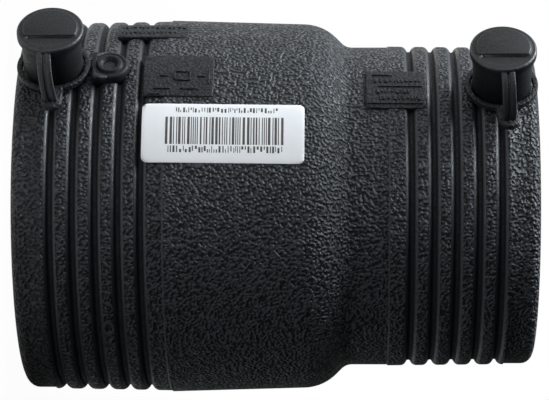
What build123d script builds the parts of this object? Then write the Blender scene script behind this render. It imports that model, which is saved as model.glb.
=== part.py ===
from build123d import *
import os
from math import atan2, cos, degrees, radians, sin, tan

# Electrofusion reducing coupler in polyethylene: a stepped sleeve with a socket for a larger pipe at
# one end and for a smaller pipe at the other. Heating wire lies in both bores and ends at two contact
# terminals under strapped caps. Millimetres. The Z axis is the bore axis, z = 0 is the large mouth,
# and +X points from the axis to the terminals.

# ---------------------------------------------------------------- sockets and bore
coupler_length = 130.0
large_bore_dia = 76.2      # socket walls, the winding stands on them
small_bore_dia = 64.2
large_socket_depth = 60.0
small_socket_depth = 54.0
lead_in = 1.6              # chamfer at each mouth
throat_dia = 51.4          # through the web between the sockets, the smaller pipe's bore

# ---------------------------------------------------------------- outer skin
centre_dia = 96.4          # barrel beyond the step, where it is widest
centre_taper = 1.15        # off the radius, from the step to the shoulder
step_rise = 0.25           # between the last rib and the barrel beyond it, at both ends
large_rib_taper = 0.45     # off the radius, from the step to the outermost groove
large_band_dia = 94.2      # plain band at the large mouth
shoulder_foot = 82.1       # height where the shoulder meets the small barrel
shoulder_slope = 45.0
shoulder_round = 12.0
shoulder_flat_count = 3    # the rounded shoulder is made of flats
small_barrel_dia = 82.3
small_rib_taper = 0.3
small_band_dia = 81.6
end_round = 2.8
end_flat_count = 2

# ---------------------------------------------------------------- annular grooves
first_groove = 9.6         # mouth to the middle of the outermost groove
groove_pitch = 5.55
groove_count = 5           # at each end, with a step one pitch further in
groove_mouth = 2.2
groove_depth = 1.3

# ---------------------------------------------------------------- heating wire
winding_thickness = 0.35   # metal of the spaced turns, spread evenly
winding_gap = 0.05         # between winding and socket wall
large_winding_start = 15.0 # from the mouth
large_winding_length = 24.0
small_winding_start = 15.0
small_winding_length = 22.0

# ---------------------------------------------------------------- contact terminals
large_terminal = 9.6       # from the mouth to the terminal's axis
small_terminal = 9.3
shroud_dia = 14.6
shroud_bore = 12.0
shroud_rise = 11.6         # barrel surface to rim
pin_dia = 4.0
pin_below_rim = 5.0
pin_root = 4.0             # depth of the pin in the wall
pin_gap = 0.03

# ---------------------------------------------------------------- terminal caps
cap_dia = 16.5
cap_thickness = 2.2
cap_edge = 0.5
cap_seat_gap = 0.1         # under the disc
plug_gap = 0.15            # between plug and shroud bore
plug_depth = 4.0
plate_dia = 13.4           # raised D-shaped area on the disc
plate_height = 0.35
plate_chord = 2.6          # from the disc's centre to the straight side
slot_length = 11.4
slot_width = 1.1
slot_depth = 0.9
strap_width = 3.4
strap_thickness = 1.4
strap_reach = 12.6         # terminal axis to the middle of the bowed strap
strap_turn = 10.0          # degrees from +Y towards the nearer mouth
ring_gap = 0.5             # between tether ring and shroud
ring_wall = 1.3
ring_thickness = 1.6
ring_lift = 0.45           # ring to the highest skin under it
lug_dia = 5.2
lug_reach = 13.0           # terminal axis to the lug's centre

# ---------------------------------------------------------------- fusion indicator
indicator_from_mouth = 23.5
boss_dia = 9.4
boss_rise = 2.0
boss_gap = 0.4             # between the boss's flat end and the tether ring
collar_dia = 6.2
collar_rise = 0.5
indicator_hole_dia = 3.0
indicator_hole_depth = 5.0
indicator_gap = 0.1
indicator_length = 3.6
indicator_recess = 0.9     # collar's top to the pin's end

# ---------------------------------------------------------------- smooth moulded panels and mark
panel_rise = 0.35
panel_root = 2.5           # how far a panel reaches into the wall
panel_corner = 0.8
centre_panel = {"turn": 2.5, "middle": 40.7, "height": 17.4, "width": 14.3}
side_panel = {"turn": -22.0, "middle": 33.4, "height": 18.0, "width": 9.0}
small_panel = {"turn": 0.0, "middle": 94.5, "height": 15.0, "width": 13.6}
gate_turn = 84.0
gate_from_mouth = 23.5
gate_dia = 2.8
gate_depth = 0.6

# ---------------------------------------------------------------- label
label_turn = 23.0
label_start = 32.9
label_length = 39.0
label_width = 15.7
label_corner = 1.4
label_thickness = 0.12
label_gap = 0.03           # film of glue

os.makedirs("parts", exist_ok=True)

# ---------------------------------------------------------------- places worked out from the sizes
large_bore = large_bore_dia / 2
small_bore = small_bore_dia / 2
large_stop = large_socket_depth
small_stop = coupler_length - small_socket_depth
large_step = first_groove + groove_pitch * groove_count
small_step = coupler_length - large_step
small_groove = coupler_length - first_groove
shoulder_dia = centre_dia - 2 * centre_taper
large_last_rib_dia = centre_dia - 2 * step_rise
large_first_rib_dia = large_last_rib_dia - 2 * large_rib_taper
small_last_rib_dia = small_barrel_dia + 2 * step_rise
small_first_rib_dia = small_last_rib_dia - 2 * small_rib_taper
shoulder_drop = (shoulder_dia - small_barrel_dia) / 2
shoulder_corner = shoulder_foot - shoulder_drop / tan(radians(shoulder_slope))

large_ribs = [(first_groove, large_first_rib_dia), (large_step, large_last_rib_dia)]
centre_barrel = [(large_step, centre_dia), (shoulder_corner, shoulder_dia)]
small_ribs = [(small_step, small_last_rib_dia), (small_groove, small_first_rib_dia)]


def radius_on(skin, z):
    """Radius of a straight tapering stretch of the skin at the height z."""
    (z0, dia0), (z1, dia1) = skin
    return (dia0 + (dia1 - dia0) * (z - z0) / (z1 - z0)) / 2


def radial_plane(turn, z, radius=0.0):
    """Plane that looks outward from the axis at a turn in degrees, its x axis along the bore."""
    outward = Vector(cos(radians(turn)), sin(radians(turn)), 0)
    return Plane(origin=outward * radius + Vector(0, 0, z), x_dir=(0, 0, 1), z_dir=outward)


def finish(piece, name):
    """Label a finished piece and write its file."""
    piece.part.label = name
    export_step(piece.part, f"parts/{name}.step")


# ---------------------------------------------------------------- panels, fused to the body below
def wrapped_patch(turn, middle, height, width, corner, section):
    """Rounded rectangle wrapped round the axis, with a section given as (radius, z) points."""
    with BuildPart() as patch:
        with BuildSketch(Plane.XZ):
            Polygon(*section, align=None)
        revolve(axis=Axis.Z)
        with BuildSketch(radial_plane(turn, middle)):
            RectangleRounded(height, width, corner)
        extrude(amount=centre_dia, mode=Mode.INTERSECT)
    return patch


def moulded_panel(panel, surface_radius):
    """Smooth panel that stands a little proud of the skin and bridges the grooves under it."""
    low = panel["middle"] - panel["height"]
    high = panel["middle"] + panel["height"]
    outer = surface_radius + panel_rise
    inner = surface_radius - panel_root
    section = [(inner, low), (outer, low), (outer, high), (inner, high)]
    return wrapped_patch(**panel, corner=panel_corner, section=section)


panels = [
    moulded_panel(centre_panel, radius_on(centre_barrel, large_step)),
    moulded_panel(side_panel, radius_on(centre_barrel, large_step)),
    moulded_panel(small_panel, radius_on(small_ribs, small_step)),
]


# ---------------------------------------------------------------- profiles of the body
def groove_section(z, radius):
    """Corner points of a groove with two flanks, carried past the skin at the same slope."""
    return [
        (radius - groove_depth, z),
        (radius + groove_depth, z - groove_mouth),
        (radius + groove_depth, z + groove_mouth),
    ]


def arc_points(centre, radius, start, end, steps):
    """Points along an arc about (radius, z), its angles in degrees from the outward direction."""
    angles = [radians(start + (end - start) * step / steps) for step in range(steps + 1)]
    return [(centre[0] + radius * cos(a), centre[1] + radius * sin(a)) for a in angles]


# the shoulder's arc is tangent to the centre barrel and to the slope below it
centre_slope = degrees(atan2(centre_taper, shoulder_corner - large_step))
shoulder_bend = radians(shoulder_slope - centre_slope)
slope_length = shoulder_drop / sin(radians(shoulder_slope))
shoulder_radius = min(shoulder_round, slope_length / tan(shoulder_bend / 2))
shoulder_tangent = shoulder_corner - shoulder_radius * tan(shoulder_bend / 2) * cos(radians(centre_slope))
shoulder_centre = (
    radius_on(centre_barrel, shoulder_tangent) - shoulder_radius * cos(radians(centre_slope)),
    shoulder_tangent - shoulder_radius * sin(radians(centre_slope)),
)

large_corner = (large_band_dia / 2 - end_round, end_round)
small_corner = (small_band_dia / 2 - end_round, coupler_length - end_round)
outer_points = [
    (0, 0),
    *arc_points(large_corner, end_round, -90, 0, end_flat_count),
    (large_band_dia / 2, first_groove),
    (large_first_rib_dia / 2, first_groove),
    (large_last_rib_dia / 2, large_step),
    (centre_dia / 2, large_step),
    *arc_points(shoulder_centre, shoulder_radius, centre_slope, shoulder_slope, shoulder_flat_count),
    (small_barrel_dia / 2, shoulder_foot),
    (small_barrel_dia / 2, small_step),
    (small_last_rib_dia / 2, small_step),
    (small_first_rib_dia / 2, small_groove),
    (small_band_dia / 2, small_groove),
    *arc_points(small_corner, end_round, 0, 90, end_flat_count),
    (0, coupler_length),
]

bore_points = [
    (0, 0),
    (large_bore + lead_in, 0),
    (large_bore, lead_in),
    (large_bore, large_stop),
    (throat_dia / 2, large_stop),
    (throat_dia / 2, small_stop),
    (small_bore, small_stop),
    (small_bore, coupler_length - lead_in),
    (small_bore + lead_in, coupler_length),
    (0, coupler_length),
]

# ---------------------------------------------------------------- terminals
ring_inner = shroud_dia / 2 + ring_gap
ring_outer = ring_inner + ring_wall


def terminal_place(height, ribs, band_dia, side):
    """Height, radius of the skin there, highest skin under the tether ring, side of the nearer mouth."""
    under_ring = max(band_dia / 2, radius_on(ribs, height - side * ring_outer))
    return height, radius_on(ribs, height), under_ring, side


terminals = {
    "large": terminal_place(large_terminal, large_ribs, large_band_dia, -1),
    "small": terminal_place(coupler_length - small_terminal, small_ribs, small_band_dia, 1),
}
indicator_skin = radius_on(large_ribs, indicator_from_mouth)
boss_top = indicator_skin + boss_rise
boss_run = indicator_from_mouth - large_terminal - ring_outer - boss_gap
collar_top = boss_top + collar_rise

# ---------------------------------------------------------------- body, one moulding
with BuildPart() as body:
    with BuildSketch(Plane.XZ):
        Polygon(*outer_points, align=None)
    revolve(axis=Axis.Z)

    with BuildSketch(Plane.XZ):
        for number in range(groove_count):
            from_mouth = first_groove + groove_pitch * number
            for ribs, height in ((large_ribs, from_mouth), (small_ribs, coupler_length - from_mouth)):
                Polygon(*groove_section(height, radius_on(ribs, height)), align=None)
    revolve(axis=Axis.Z, mode=Mode.SUBTRACT)

    for panel in panels:
        add(panel.part)

    # flat-ended boss of the fusion indicator with its collar
    with BuildSketch(radial_plane(0, indicator_from_mouth, indicator_skin - groove_depth)):
        Circle(boss_dia / 2)
        Rectangle(boss_run, boss_dia, align=(Align.MAX, Align.CENTER))
        with Locations((-boss_run, 0)):
            Rectangle(boss_dia, boss_dia, align=(Align.MAX, Align.CENTER), mode=Mode.SUBTRACT)
    extrude(amount=groove_depth + boss_rise)
    with BuildSketch(radial_plane(0, indicator_from_mouth, boss_top)):
        Circle(collar_dia / 2)
    extrude(amount=collar_rise)

    # terminal shrouds, rooted under the grooves
    for height, skin_radius, *_ in terminals.values():
        with BuildSketch(radial_plane(0, height, skin_radius - panel_root)):
            Circle(shroud_dia / 2)
        extrude(amount=panel_root + shroud_rise)

    with BuildSketch(Plane.XZ):
        Polygon(*bore_points, align=None)
    revolve(axis=Axis.Z, mode=Mode.SUBTRACT)

    for height, skin_radius, *_ in terminals.values():
        with BuildSketch(radial_plane(0, height, skin_radius)):
            Circle(shroud_bore / 2)
        extrude(amount=shroud_rise, mode=Mode.SUBTRACT)
        with BuildSketch(radial_plane(0, height, skin_radius - pin_root)):
            Circle(pin_dia / 2 + pin_gap)
        extrude(amount=pin_root, mode=Mode.SUBTRACT)

    with BuildSketch(radial_plane(0, indicator_from_mouth, collar_top - indicator_hole_depth)):
        Circle(indicator_hole_dia / 2)
    extrude(amount=indicator_hole_depth, mode=Mode.SUBTRACT)

    # round mark left by the moulding gate
    gate_skin = radius_on(large_ribs, gate_from_mouth)
    with BuildSketch(radial_plane(gate_turn, gate_from_mouth, gate_skin - gate_depth)):
        Circle(gate_dia / 2)
    extrude(amount=groove_depth, mode=Mode.SUBTRACT)

finish(body, "body")


# ---------------------------------------------------------------- heating wire
# one wire wound in both sockets, its turns closed up to a thin sleeve on each wall
with BuildPart() as heating_wire:
    for bore_radius, foot, length in (
        (large_bore, large_winding_start, large_winding_length),
        (
            small_bore,
            coupler_length - small_winding_start - small_winding_length,
            small_winding_length,
        ),
    ):
        with BuildSketch(Plane.XY.offset(foot)):
            Circle(bore_radius - winding_gap)
            Circle(bore_radius - winding_gap - winding_thickness, mode=Mode.SUBTRACT)
        extrude(amount=length)
finish(heating_wire, "heating_wire")


# ---------------------------------------------------------------- contact pins
# round pins standing in the shrouds, each on a root in the wall
with BuildPart() as contact_pins:
    for height, skin_radius, *_ in terminals.values():
        root = skin_radius - pin_root + pin_gap
        with BuildSketch(radial_plane(0, height, root)):
            Circle(pin_dia / 2)
        extrude(amount=skin_radius + shroud_rise - pin_below_rim - root)
finish(contact_pins, "contact_pins")


# ---------------------------------------------------------------- terminal caps
def terminal_cap(height, skin_radius, under_ring, side):
    """Cap with plug, raised plate, strap and tether ring, one moulding pushed on the shroud."""
    rim = skin_radius + shroud_rise
    away = Vector(0, cos(radians(strap_turn)), side * sin(radians(strap_turn)))
    seat = Plane(origin=(rim, 0, height), x_dir=away, z_dir=(1, 0, 0))
    across = Plane(origin=(rim, 0, height), x_dir=away, z_dir=away.cross(Vector(1, 0, 0)))
    chord = Plane(origin=(rim, 0, height), x_dir=(0, 1, 0), z_dir=(1, 0, 0))
    disc_top = cap_seat_gap + cap_thickness
    ring_foot = under_ring + ring_lift - rim

    with BuildPart() as cap:
        with BuildSketch(seat.offset(cap_seat_gap)):
            Circle(cap_dia / 2)
        extrude(amount=cap_thickness)
        chamfer(cap.edges().sort_by(Axis.X)[-1], cap_edge)
        with BuildSketch(chord.offset(disc_top)):
            Circle(plate_dia / 2)
            with Locations((plate_chord, 0)):
                Rectangle(plate_dia, plate_dia, align=(Align.MIN, Align.CENTER), mode=Mode.SUBTRACT)
        extrude(amount=plate_height)
        with BuildSketch(chord.offset(disc_top - slot_depth)):
            with Locations((plate_chord, 0)):
                Rectangle(slot_width, slot_length)
        extrude(amount=slot_depth + plate_height, mode=Mode.SUBTRACT)
        with BuildSketch(seat.offset(cap_seat_gap)):
            Circle(shroud_bore / 2 - plug_gap)
        extrude(amount=-cap_seat_gap - plug_depth)

        # tether ring round the shroud's foot, with the tab and round lug that the strap runs into
        with BuildSketch(seat.offset(ring_foot)):
            Circle(ring_outer)
            Rectangle(lug_reach, lug_dia, align=(Align.MIN, Align.CENTER))
            with Locations((lug_reach, 0)):
                Circle(lug_dia / 2)
            Circle(ring_inner, mode=Mode.SUBTRACT)
        extrude(amount=ring_thickness)

        # bowed strap
        with BuildLine(across):
            bow = ThreePointArc(
                (cap_dia / 2 - strap_thickness / 2, cap_seat_gap + cap_thickness / 2),
                (strap_reach, ring_foot / 2),
                (lug_reach, ring_foot + ring_thickness / 2),
            )
        with BuildSketch(Plane(origin=bow @ 0, x_dir=across.z_dir, z_dir=bow % 0)):
            Rectangle(strap_width, strap_thickness)
        sweep(path=bow)
    return cap


for end, place in terminals.items():
    finish(terminal_cap(*place), f"{end}_terminal_cap")

# ---------------------------------------------------------------- fusion indicator pin
with BuildPart() as indicator:
    indicator_foot = collar_top - indicator_recess - indicator_length
    with BuildSketch(radial_plane(0, indicator_from_mouth, indicator_foot)):
        Circle(indicator_hole_dia / 2 - indicator_gap)
    extrude(amount=indicator_length)
finish(indicator, "fusion_indicator")


# ---------------------------------------------------------------- label
def over_barrel(z, lift):
    """Point of the label's section at the height z, straight on past the barrel's step."""
    return (radius_on(centre_barrel, max(z, large_step)) + lift, z)


label_bends = (label_start, large_step, label_start + label_length)
label_section = [
    *(over_barrel(z, label_gap) for z in label_bends),
    *(over_barrel(z, label_gap + label_thickness) for z in reversed(label_bends)),
]
label_middle = label_start + label_length / 2
label = wrapped_patch(
    label_turn, label_middle, label_length, label_width, label_corner, label_section
)
finish(label, "label")
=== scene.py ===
import math
import random

import bmesh
import bpy
from mathutils import Matrix, Vector


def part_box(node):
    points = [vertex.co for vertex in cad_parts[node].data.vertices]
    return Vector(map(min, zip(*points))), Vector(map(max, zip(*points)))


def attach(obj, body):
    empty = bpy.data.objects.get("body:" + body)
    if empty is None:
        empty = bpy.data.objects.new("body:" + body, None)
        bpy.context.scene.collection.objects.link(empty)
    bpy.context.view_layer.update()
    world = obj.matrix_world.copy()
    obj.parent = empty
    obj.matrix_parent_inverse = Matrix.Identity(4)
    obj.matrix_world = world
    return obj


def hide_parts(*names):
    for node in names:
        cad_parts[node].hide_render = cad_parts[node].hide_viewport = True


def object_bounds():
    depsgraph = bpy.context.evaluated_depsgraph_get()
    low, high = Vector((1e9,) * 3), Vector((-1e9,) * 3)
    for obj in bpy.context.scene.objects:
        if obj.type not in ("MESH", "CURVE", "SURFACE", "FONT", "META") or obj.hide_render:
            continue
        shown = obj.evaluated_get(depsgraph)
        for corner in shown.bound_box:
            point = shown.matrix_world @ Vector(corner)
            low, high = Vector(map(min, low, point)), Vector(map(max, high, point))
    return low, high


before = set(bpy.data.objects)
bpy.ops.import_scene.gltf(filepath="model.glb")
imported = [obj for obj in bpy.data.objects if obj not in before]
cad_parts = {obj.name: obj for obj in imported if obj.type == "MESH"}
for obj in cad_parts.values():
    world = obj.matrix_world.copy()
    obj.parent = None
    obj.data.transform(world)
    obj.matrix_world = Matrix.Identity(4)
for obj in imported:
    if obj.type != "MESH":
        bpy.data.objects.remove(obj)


# ------------------------------------------------------------------ camera
# A long lens, a little above the middle of the coupler as it stands on its large end, and turned on
# its side so that the bore runs across the picture with the terminals above.
MM = 0.001
CAMERA = {"distance": 700, "rise": 16, "aim_up": 1.55, "aim_drop": 1.5, "sensor": 36, "lens": 176.3}

cad_low, cad_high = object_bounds()
toward_camera = Vector((1, 1, 0)).normalized()
picture_up = Vector((1, -1, 0)).normalized()
middle_height = (cad_low.z + cad_high.z) / 2
eye = toward_camera * CAMERA["distance"] * MM + Vector((0, 0, middle_height + CAMERA["rise"] * MM))
aim = picture_up * CAMERA["aim_up"] * MM + Vector((0, 0, middle_height - CAMERA["aim_drop"] * MM))
back = (eye - aim).normalized()
side = picture_up.cross(back).normalized()

camera = bpy.data.objects.new("camera", bpy.data.cameras.new("camera"))
bpy.context.scene.collection.objects.link(camera)
camera.data.sensor_width = CAMERA["sensor"]
camera.data.lens = CAMERA["lens"]
camera.data.clip_start = 0.01
camera_axes = Matrix((side, back.cross(side), back)).transposed().to_4x4()
camera.matrix_world = Matrix.Translation(eye) @ camera_axes
bpy.context.scene.camera = camera
bpy.context.scene.view_settings.view_transform = "Standard"


# ------------------------------------------------------------------ floor and light
# A pale floor under a studio's soft boxes: a large one over the terminals' side, one overhead for the
# shoulder and the upper mouth, and a weak one from the front.
def linear(colour):
    """sRGB hex colour as linear red, green, blue and alpha."""
    channels = [int(colour[i : i + 2], 16) / 255 for i in (1, 3, 5)]
    return (*(c / 12.92 if c <= 0.04045 else ((c + 0.055) / 1.055) ** 2.4 for c in channels), 1)


def add_node(tree, kind, inputs=None, **settings):
    """Adds a node, sets its properties, and sets or links its inputs by name or number."""
    node = tree.nodes.new(kind)
    for name, value in settings.items():
        setattr(node, name, value)
    for name, value in (inputs or {}).items():
        if isinstance(value, bpy.types.NodeSocket):
            tree.links.new(value, node.inputs[name])
        else:
            node.inputs[name].default_value = value
    return node


def empty_tree(owner):
    """The owner's node tree, cleared."""
    owner.use_nodes = True
    owner.node_tree.nodes.clear()
    return owner.node_tree


def seen_directly(tree, ray):
    """1 where the camera sees the surface itself, straight or through something clear."""
    direct = {0: ray.outputs["Is Camera Ray"], 1: ray.outputs["Is Transmission Ray"]}
    return add_node(tree, "ShaderNodeMath", direct, operation="MAXIMUM").outputs[0]


# matt white paint, seen as even white without shine, so that it holds only the coupler's soft shadow
floor_white = linear("#969696")
PAINTED_FLOOR_REFLECTION = {"from": -50 * MM, "to": 0.0, "dim": 0.02, "bright": 1.0}
SHADOW_FADE = {"from": 150 * MM, "to": 800 * MM, "near": 0.97, "far": 1.0}

floor_material = bpy.data.materials.new("painted_floor_matt_white")
tree = empty_tree(floor_material)
ray = add_node(tree, "ShaderNodeLightPath")
seen = seen_directly(tree, ray)
# to polished things the floor glows, bright on the key lamp's side and dim on the other: painted light and
# shade in its reflection
place = add_node(tree, "ShaderNodeTexCoord").outputs["Object"]
to_key = add_node(tree, "ShaderNodeVectorMath", {0: place, 1: picture_up}, operation="DOT_PRODUCT")
bright = add_node(tree, "ShaderNodeMapRange",
                  {0: to_key.outputs["Value"], 1: PAINTED_FLOOR_REFLECTION["from"], 2: PAINTED_FLOOR_REFLECTION["to"],
                   3: PAINTED_FLOOR_REFLECTION["dim"], 4: PAINTED_FLOOR_REFLECTION["bright"]})
painted_floor_reflection = add_node(tree, "ShaderNodeMath", {0: ray.outputs["Is Glossy Ray"], 1: bright.outputs[0]},
                  operation="MULTIPLY")
share = add_node(tree, "ShaderNodeMath", {0: seen, 1: painted_floor_reflection.outputs[0]}, operation="MAXIMUM")
# near the coupler the floor keeps its shadow, further off it fades to even white
distance = add_node(tree, "ShaderNodeVectorMath", {0: place}, operation="LENGTH")
fade = add_node(tree, "ShaderNodeMapRange",
                {0: distance.outputs["Value"], 1: SHADOW_FADE["from"], 2: SHADOW_FADE["to"],
                 3: SHADOW_FADE["near"], 4: SHADOW_FADE["far"]})
share = add_node(tree, "ShaderNodeMath", {0: share.outputs[0], 1: fade.outputs[0]}, operation="MULTIPLY")
paint = add_node(tree, "ShaderNodeBsdfDiffuse", {"Color": floor_white})
glow = add_node(tree, "ShaderNodeEmission", {"Color": (1, 1, 1, 1), "Strength": 1.0})
floor_mix = add_node(tree, "ShaderNodeMixShader",
                     {0: share.outputs[0], 1: paint.outputs[0], 2: glow.outputs[0]})
add_node(tree, "ShaderNodeOutputMaterial", {"Surface": floor_mix.outputs[0]})

FLOOR_HALF = 9          # metres
FLOOR_GAP = 0.02        # mm under the coupler
floor_mesh = bpy.data.meshes.new("floor")
floor_mesh.from_pydata(
    [(x * FLOOR_HALF, y * FLOOR_HALF, cad_low.z - FLOOR_GAP * MM)
     for x, y in ((-1, -1), (1, -1), (1, 1), (-1, 1))], [], [(0, 1, 2, 3)])
floor_mesh.materials.append(floor_material)
floor = bpy.data.objects.new("floor", floor_mesh)
bpy.context.scene.collection.objects.link(floor)

# the room: seen as white, reflected as a wall that is bright behind the key lamp, a little dimmer as light
WALL = {"dark": 0.015, "bright": 0.6, "as_light": 0.7}
upward = Vector((0, 0, 1))
bright_wall = (picture_up - toward_camera * 0.5 + upward * 0.35).normalized()

world = bpy.data.worlds.new("studio")
bpy.context.scene.world = world
tree = empty_tree(world)
ray = add_node(tree, "ShaderNodeLightPath")
towards = add_node(tree, "ShaderNodeTexCoord").outputs["Generated"]
key_side = add_node(tree, "ShaderNodeVectorMath", {0: towards, 1: bright_wall}, operation="DOT_PRODUCT")
falloff = add_node(tree, "ShaderNodeMapRange",
                   {0: key_side.outputs["Value"], 1: 0.0, 2: 1.0, 3: WALL["dark"], 4: WALL["bright"]})
seen = seen_directly(tree, ray)
lit = add_node(tree, "ShaderNodeMath", {0: falloff.outputs[0], 1: WALL["as_light"]}, operation="MULTIPLY")
studio = add_node(tree, "ShaderNodeMix",
                  {0: ray.outputs["Is Glossy Ray"], 2: lit.outputs[0], 3: falloff.outputs[0]})
shown = add_node(tree, "ShaderNodeMix", {0: seen, 2: studio.outputs[0], 3: 1.0})
sky = add_node(tree, "ShaderNodeBackground", {"Color": (1, 1, 1, 1), "Strength": shown.outputs[0]})
add_node(tree, "ShaderNodeOutputWorld", {"Surface": sky.outputs[0]})

# distance and size in metres, power in watts
for name, direction, distance, size, power, tint in (
    ("key_soft_box", picture_up + toward_camera * 0.15 + upward * 0.1, 0.9, 1.0, 3.0, (0.9, 1.0, 1.07)),
    ("overhead_soft_box", upward + picture_up * 0.62, 0.9, 0.6, 17.5, (0.95, 1.0, 1.04)),
    ("front_soft_box", toward_camera + picture_up * 0.45 + upward * 0.05, 1.2, 0.8, 1.5, (1.0, 1.0, 1.0)),
):
    lamp = bpy.data.lights.new(name, "AREA")
    lamp.size = size
    lamp.energy = power
    lamp.color = tint
    box = bpy.data.objects.new(name, lamp)
    bpy.context.scene.collection.objects.link(box)
    direction = direction.normalized()
    facing = direction.to_track_quat("Z", "Y").to_matrix().to_4x4()
    box.matrix_world = Matrix.Translation(Vector((0, 0, middle_height)) + direction * distance) @ facing


# ------------------------------------------------------------------ sleeve
# The body is injection moulded in black polyethylene: barrel, shoulder and ten annular grooves. The
# tool is etched with a leather grain outside. The grooves are turned dull and a darker black, a painted
# shade; their rounded rims are a lighter, glossier black, a painted highlight; the sockets are left smooth.
LENGTH = 130.0
BARREL = {"centre": 96.4, "taper": 1.15, "step": 0.25, "small": 82.3, "band": 94.2, "small_band": 81.6,
          "end_round": 2.8, "rows": (45, 53, 61, 67)}
GROOVES = {"first": 9.6, "pitch": 5.55, "count": 5, "mouth": 2.2, "floor": 0.7, "depth": 1.4, "rim": 1.05,
           "floor_round": 0.3, "band_edge": 2.2, "land": 2.8}
RIM_HIGHLIGHT_STEP = {"large": (-0.25, 0.15), "small": (-0.1, 0.25), "margin": 0.1}
SHOULDER = {"foot": 82.1, "round": 12.0, "foot_round": 1.6}
BORE = {"large": 38.1, "small": 32.1, "throat": 25.7, "large_stop": 60.0, "small_stop": 76.0, "lead": 1.6,
        "end_face": 0.2, "stop_edge": 0.5, "throat_edge": 0.6,
        "small_rows": (115, 95), "large_rows": (40, 20)}
RIB_TAPER = {"large": 0.45, "small": 0.3}

large_step = GROOVES["first"] + GROOVES["pitch"] * GROOVES["count"]
small_step = LENGTH - large_step
shoulder_top = SHOULDER["foot"] - (BARREL["centre"] / 2 - BARREL["taper"] - BARREL["small"] / 2)


def large_skin(z):
    """Radius of the ribs' line from the large mouth up to its step, in mm."""
    rise = (z - GROOVES["first"]) / (large_step - GROOVES["first"])
    return BARREL["centre"] / 2 - BARREL["step"] - RIB_TAPER["large"] * (1 - rise)


def centre_skin(z):
    """Radius of the tapering barrel from the step up to the shoulder, in mm; level below the step."""
    rise = max(0, (z - large_step) / (shoulder_top - large_step))
    return BARREL["centre"] / 2 - BARREL["taper"] * rise


def small_skin(z):
    """Radius of the ribs' line from the step on the small barrel to the small mouth, in mm."""
    run = (z - small_step) / (LENGTH - GROOVES["first"] - small_step)
    return BARREL["small"] / 2 + BARREL["step"] - RIB_TAPER["small"] * run


def arc(centre, radius, start, end, steps):
    """Points (radius, z) along an arc, angles in degrees from the outward direction."""
    angles = [math.radians(start + (end - start) * i / steps) for i in range(steps + 1)]
    return [(centre[0] + radius * math.cos(a), centre[1] + radius * math.sin(a)) for a in angles]


def rounded(before, corner, after, reach, steps):
    """A corner of the section rounded by a curve that starts and ends at reach from it."""
    start = corner + (before - corner).normalized() * reach
    end = corner + (after - corner).normalized() * reach
    points = []
    for i in range(steps + 1):
        t = i / steps
        points.append(start * (1 - t) ** 2 + corner * 2 * t * (1 - t) + end * t * t)
    return points


# finishes of the section's skin; RIM and MATT take the lighter and darker blacks, painted highlight and
# painted shade
SMOOTH, ETCHED, RIM, MATT = 0.0, 1.0, 2.0, -1.0
section = []


def run(points, finish):
    """Adds points to the section, with the finish of the skin beside them."""
    section.extend((r, z, finish) for r, z in points)


def groove(z, skin):
    """Adds one groove to the section: rounded rims in the lighter rim black, a painted highlight, and dull
    flanks and floor in the darker groove black, a painted shade.
    """
    half, floor_half = GROOVES["mouth"] / 2, GROOVES["floor"] / 2
    depth, rim = GROOVES["depth"], GROOVES["rim"]
    corners = [
        Vector((skin(z - half - rim), z - half - rim)), Vector((skin(z - half), z - half)),
        Vector((skin(z) - depth, z - floor_half)), Vector((skin(z) - depth, z + floor_half)),
        Vector((skin(z + half), z + half)), Vector((skin(z + half + rim), z + half + rim)),
    ]
    floor_round = GROOVES["floor_round"]
    curves = [rounded(corners[i - 1], corners[i], corners[i + 1], reach, 6)
              for i, reach in ((1, rim), (2, floor_round), (3, floor_round), (4, rim))]
    run(curves[0][:2], ETCHED)
    run(curves[0][2:6], RIM)
    run([curves[0][6], *curves[1], *curves[2], curves[3][0]], MATT)
    run(curves[3][1:5], RIM)
    run(curves[3][5:], ETCHED)


def rim_highlight_step(step, reach, below, above):
    """Adds a step between two skins: a narrow face over its reach in the lighter rim black, a painted
    highlight, with grain past a margin.
    """
    start, end = step + reach[0], step + reach[1]
    margin = RIM_HIGHLIGHT_STEP["margin"]
    run([(below(start - margin), start - margin)], ETCHED)
    run([(below(start), start), (above(end), end)], RIM)
    run([(above(end + margin), end + margin)], ETCHED)


# outside, from the large mouth up
end_round, land = BARREL["end_round"], GROOVES["land"]
run(arc((BARREL["band"] / 2 - end_round, end_round), end_round, -90, 0, 6), ETCHED)
run([(BARREL["band"] / 2, GROOVES["first"] - GROOVES["band_edge"])], ETCHED)
for i in range(GROOVES["count"]):
    z = GROOVES["first"] + GROOVES["pitch"] * i
    groove(z, large_skin)
    run([(large_skin(z + land), z + land)], ETCHED)
rim_highlight_step(large_step, RIM_HIGHLIGHT_STEP["large"], large_skin, centre_skin)
run([(centre_skin(z), z) for z in BARREL["rows"]], ETCHED)
slope = math.atan2(BARREL["taper"], shoulder_top - large_step)
bend = math.radians(45) - slope
tangent = SHOULDER["round"] * math.tan(bend / 2)
start_z = shoulder_top - tangent * math.cos(slope)
centre = (centre_skin(start_z) - SHOULDER["round"] * math.cos(slope),
          start_z - SHOULDER["round"] * math.sin(slope))
run(arc(centre, SHOULDER["round"], math.degrees(slope), 45, 10), ETCHED)
foot = Vector((BARREL["small"] / 2, SHOULDER["foot"]))
run(rounded(foot + Vector((1, -1)), foot, foot + Vector((0, 1)), SHOULDER["foot_round"], 6), ETCHED)
rim_highlight_step(small_step, RIM_HIGHLIGHT_STEP["small"], lambda z: BARREL["small"] / 2, small_skin)
for i in reversed(range(GROOVES["count"])):
    z = LENGTH - GROOVES["first"] - GROOVES["pitch"] * i
    run([(small_skin(z - land), z - land)], ETCHED)
    groove(z, small_skin)
run([(BARREL["small_band"] / 2, LENGTH - GROOVES["first"] + GROOVES["band_edge"])], ETCHED)
run(arc((BARREL["small_band"] / 2 - end_round, LENGTH - end_round), end_round, 0, 90, 6), ETCHED)
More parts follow.
